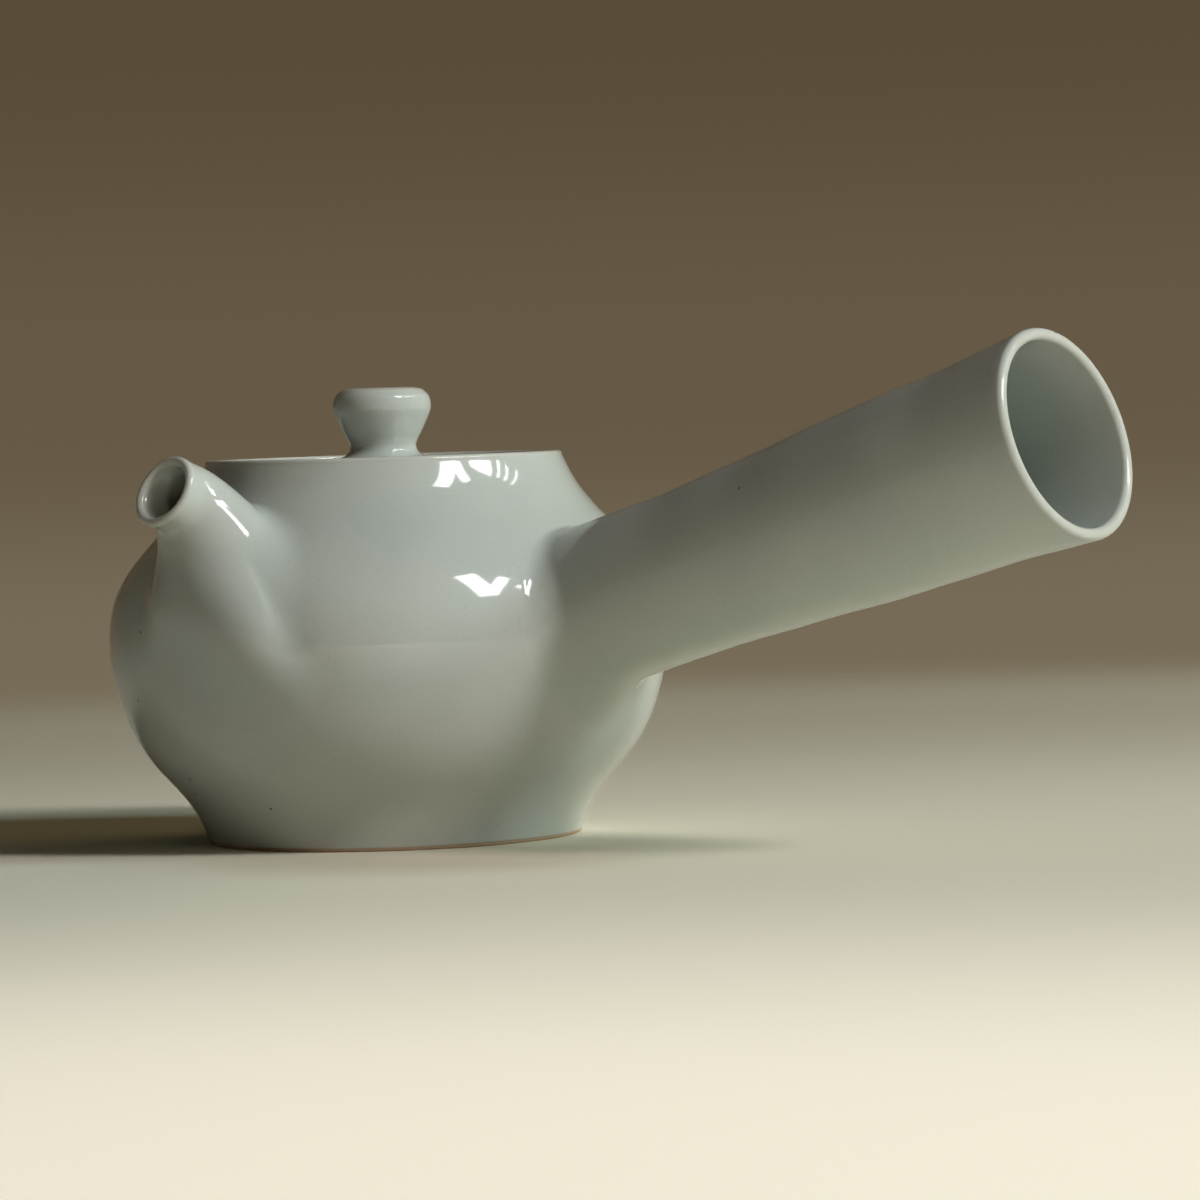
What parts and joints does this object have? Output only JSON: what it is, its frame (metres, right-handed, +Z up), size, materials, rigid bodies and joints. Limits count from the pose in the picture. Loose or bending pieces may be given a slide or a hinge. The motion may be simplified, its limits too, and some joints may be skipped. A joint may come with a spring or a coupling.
{
  "type": "side-handled teapot",
  "caption": "Rounded porcelain teapot with a straight hollow side handle, a short upturned spout set at right angles to it, an inner strainer and a drop-in lid with a flared knob.",
  "frame": {"origin": "centre of the foot's flat resting face, on the pot's axis of turning", "axes": "+Z up along the pot's axis, +X from the axis towards the open end of the handle; the spout points close to -Y"},
  "size_m": [0.1852, 0.0978, 0.0804],
  "materials": {
    "glaze": "glossy pale grey-green porcelain glaze, thin and warmer at edges, with fine dark specks",
    "bare_porcelain": "matt unglazed porcelain, slightly warm"
  },
  "bodies": {
    "pot": {"pot_body": "glaze", "lid_seat": "bare_porcelain", "handle": "glaze", "spout": "glaze", "spout_strainer": "bare_porcelain"},
    "lid": {"lid_plate": "glaze", "lid_flange": "bare_porcelain", "lid_knob": "glaze"}
  },
  "joints": [
    {"name": "lid_lift", "type": "slide", "parent": "pot", "child": "lid", "axis": [0, 0, 1], "range_m": [0, 0.04]}
  ]
}
